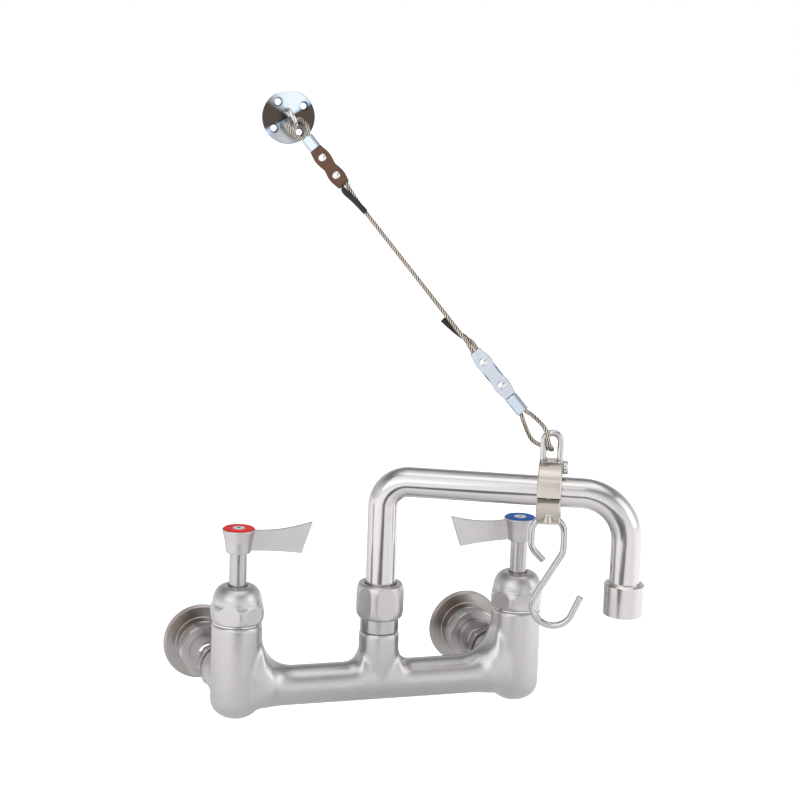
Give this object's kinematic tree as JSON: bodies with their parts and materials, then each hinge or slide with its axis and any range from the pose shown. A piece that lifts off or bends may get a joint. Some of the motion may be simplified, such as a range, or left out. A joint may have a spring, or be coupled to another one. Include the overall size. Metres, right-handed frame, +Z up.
{
  "type": "commercial wall faucet",
  "caption": "Wall-mounted lever faucet with a cross bar body, swivel spout, split collar with bucket hook, and wire rope stay to a wall plate.",
  "frame": {"origin": "midpoint between the two wall inlets, on the wall plane", "axes": "+X to the right along the wall, +Y into the wall, +Z up; the faucet lies on the -Y side"},
  "size_m": [0.3029, 0.1691, 0.4276],
  "materials": {
    "body_steel": "satin brushed stainless casting",
    "turned_steel": "turned stainless, brushed round",
    "spout_steel": "brushed along the tube",
    "collar_steel": "brushed faces with polished edges",
    "bright_steel": "polished stainless",
    "plated_clip": "bright zinc plate",
    "ferrule_alloy": "drawn aluminium",
    "rope_steel": "stranded steel",
    "valve_brass": "machined brass",
    "ceramic": "polished ceramic",
    "seal_rubber": "moulded rubber",
    "sleeve_black": "shrunk black sleeve",
    "straightener_white": "moulded plastic",
    "index_red": "glossy red",
    "index_blue": "glossy blue"
  },
  "bodies": {
    "root": {"body": "body_steel", "hot_flange": "turned_steel", "cold_flange": "turned_steel", "hot_union_nut": "turned_steel", "cold_union_nut": "turned_steel", "hot_coupling": "turned_steel", "cold_coupling": "turned_steel", "hot_inlet_washer": "seal_rubber", "cold_inlet_washer": "seal_rubber", "hot_headwork": "valve_brass", "cold_headwork": "valve_brass", "hot_fixed_disc": "ceramic", "cold_fixed_disc": "ceramic", "hot_bonnet": "turned_steel", "cold_bonnet": "turned_steel", "neck_ring": "bright_steel", "swivel_nut": "turned_steel", "wall_plate": "bright_steel", "wall_eye": "bright_steel"},
    "hot_handle": {"hot_moving_disc": "ceramic", "hot_spindle": "turned_steel", "hot_lever": "turned_steel", "hot_index_ring": "index_red", "hot_lever_screw": "bright_steel"},
    "cold_handle": {"cold_moving_disc": "ceramic", "cold_spindle": "turned_steel", "cold_lever": "turned_steel", "cold_index_ring": "index_blue", "cold_lever_screw": "bright_steel"},
    "spout": {"spout_spigot": "turned_steel", "swivel_seals": "seal_rubber", "retaining_ring": "turned_steel", "spout_tube": "spout_steel", "nozzle": "turned_steel", "flow_straightener": "straightener_white", "collar_upper": "collar_steel", "collar_lower": "collar_steel", "collar_screws": "bright_steel"},
    "shackle": {"shackle": "bright_steel", "shackle_pin": "bright_steel"},
    "hook": {"hook": "bright_steel"},
    "cable": {"stay_rope": "rope_steel", "upper_ferrule": "ferrule_alloy", "lower_ferrule": "ferrule_alloy", "upper_clip_front": "plated_clip", "upper_clip_back": "plated_clip", "upper_clip_screws": "plated_clip", "lower_clip_front": "plated_clip", "lower_clip_back": "plated_clip", "lower_clip_screws": "plated_clip", "upper_tail_sleeve": "sleeve_black", "lower_tail_sleeve": "sleeve_black"}
  },
  "joints": [
    {"name": "hot_lever_turn", "type": "hinge", "parent": "root", "child": "hot_handle", "pos_m": [-0.0936, -0.086, 0.1], "axis": [0, 0, 1], "range_deg": [-70, 0]},
    {"name": "cold_lever_turn", "type": "hinge", "parent": "root", "child": "cold_handle", "pos_m": [0.1096, -0.086, 0.1], "axis": [0, 0, 1], "range_deg": [0, 70]},
    {"name": "spout_swing", "type": "hinge", "parent": "root", "child": "spout", "pos_m": [0.008, -0.086, 0.06], "axis": [0, 0, 1], "range_deg": [-70, 3]},
    {"name": "cable_swing", "type": "hinge", "parent": "root", "child": "cable", "pos_m": [-0.04436, -0.01123, 0.37896], "axis": [-0.2257, 0.3223, 0.9193], "range_deg": [-76.6, 3.8]},
    {"name": "shackle_tilt", "type": "hinge", "parent": "spout", "child": "shackle", "pos_m": [0.11174, -0.13328, 0.1535], "axis": [0.91, -0.4147, 0], "range_deg": [-2, 2]},
    {"name": "hook_swing", "type": "hinge", "parent": "spout", "child": "hook", "pos_m": [0.11174, -0.13328, 0.1187], "axis": [0.91, -0.4147, 0], "range_deg": [-30, 15]}
  ],
  "couplings": [
    {"joint": "cable_swing", "follows": "spout_swing", "ratio": 1.0878}
  ]
}
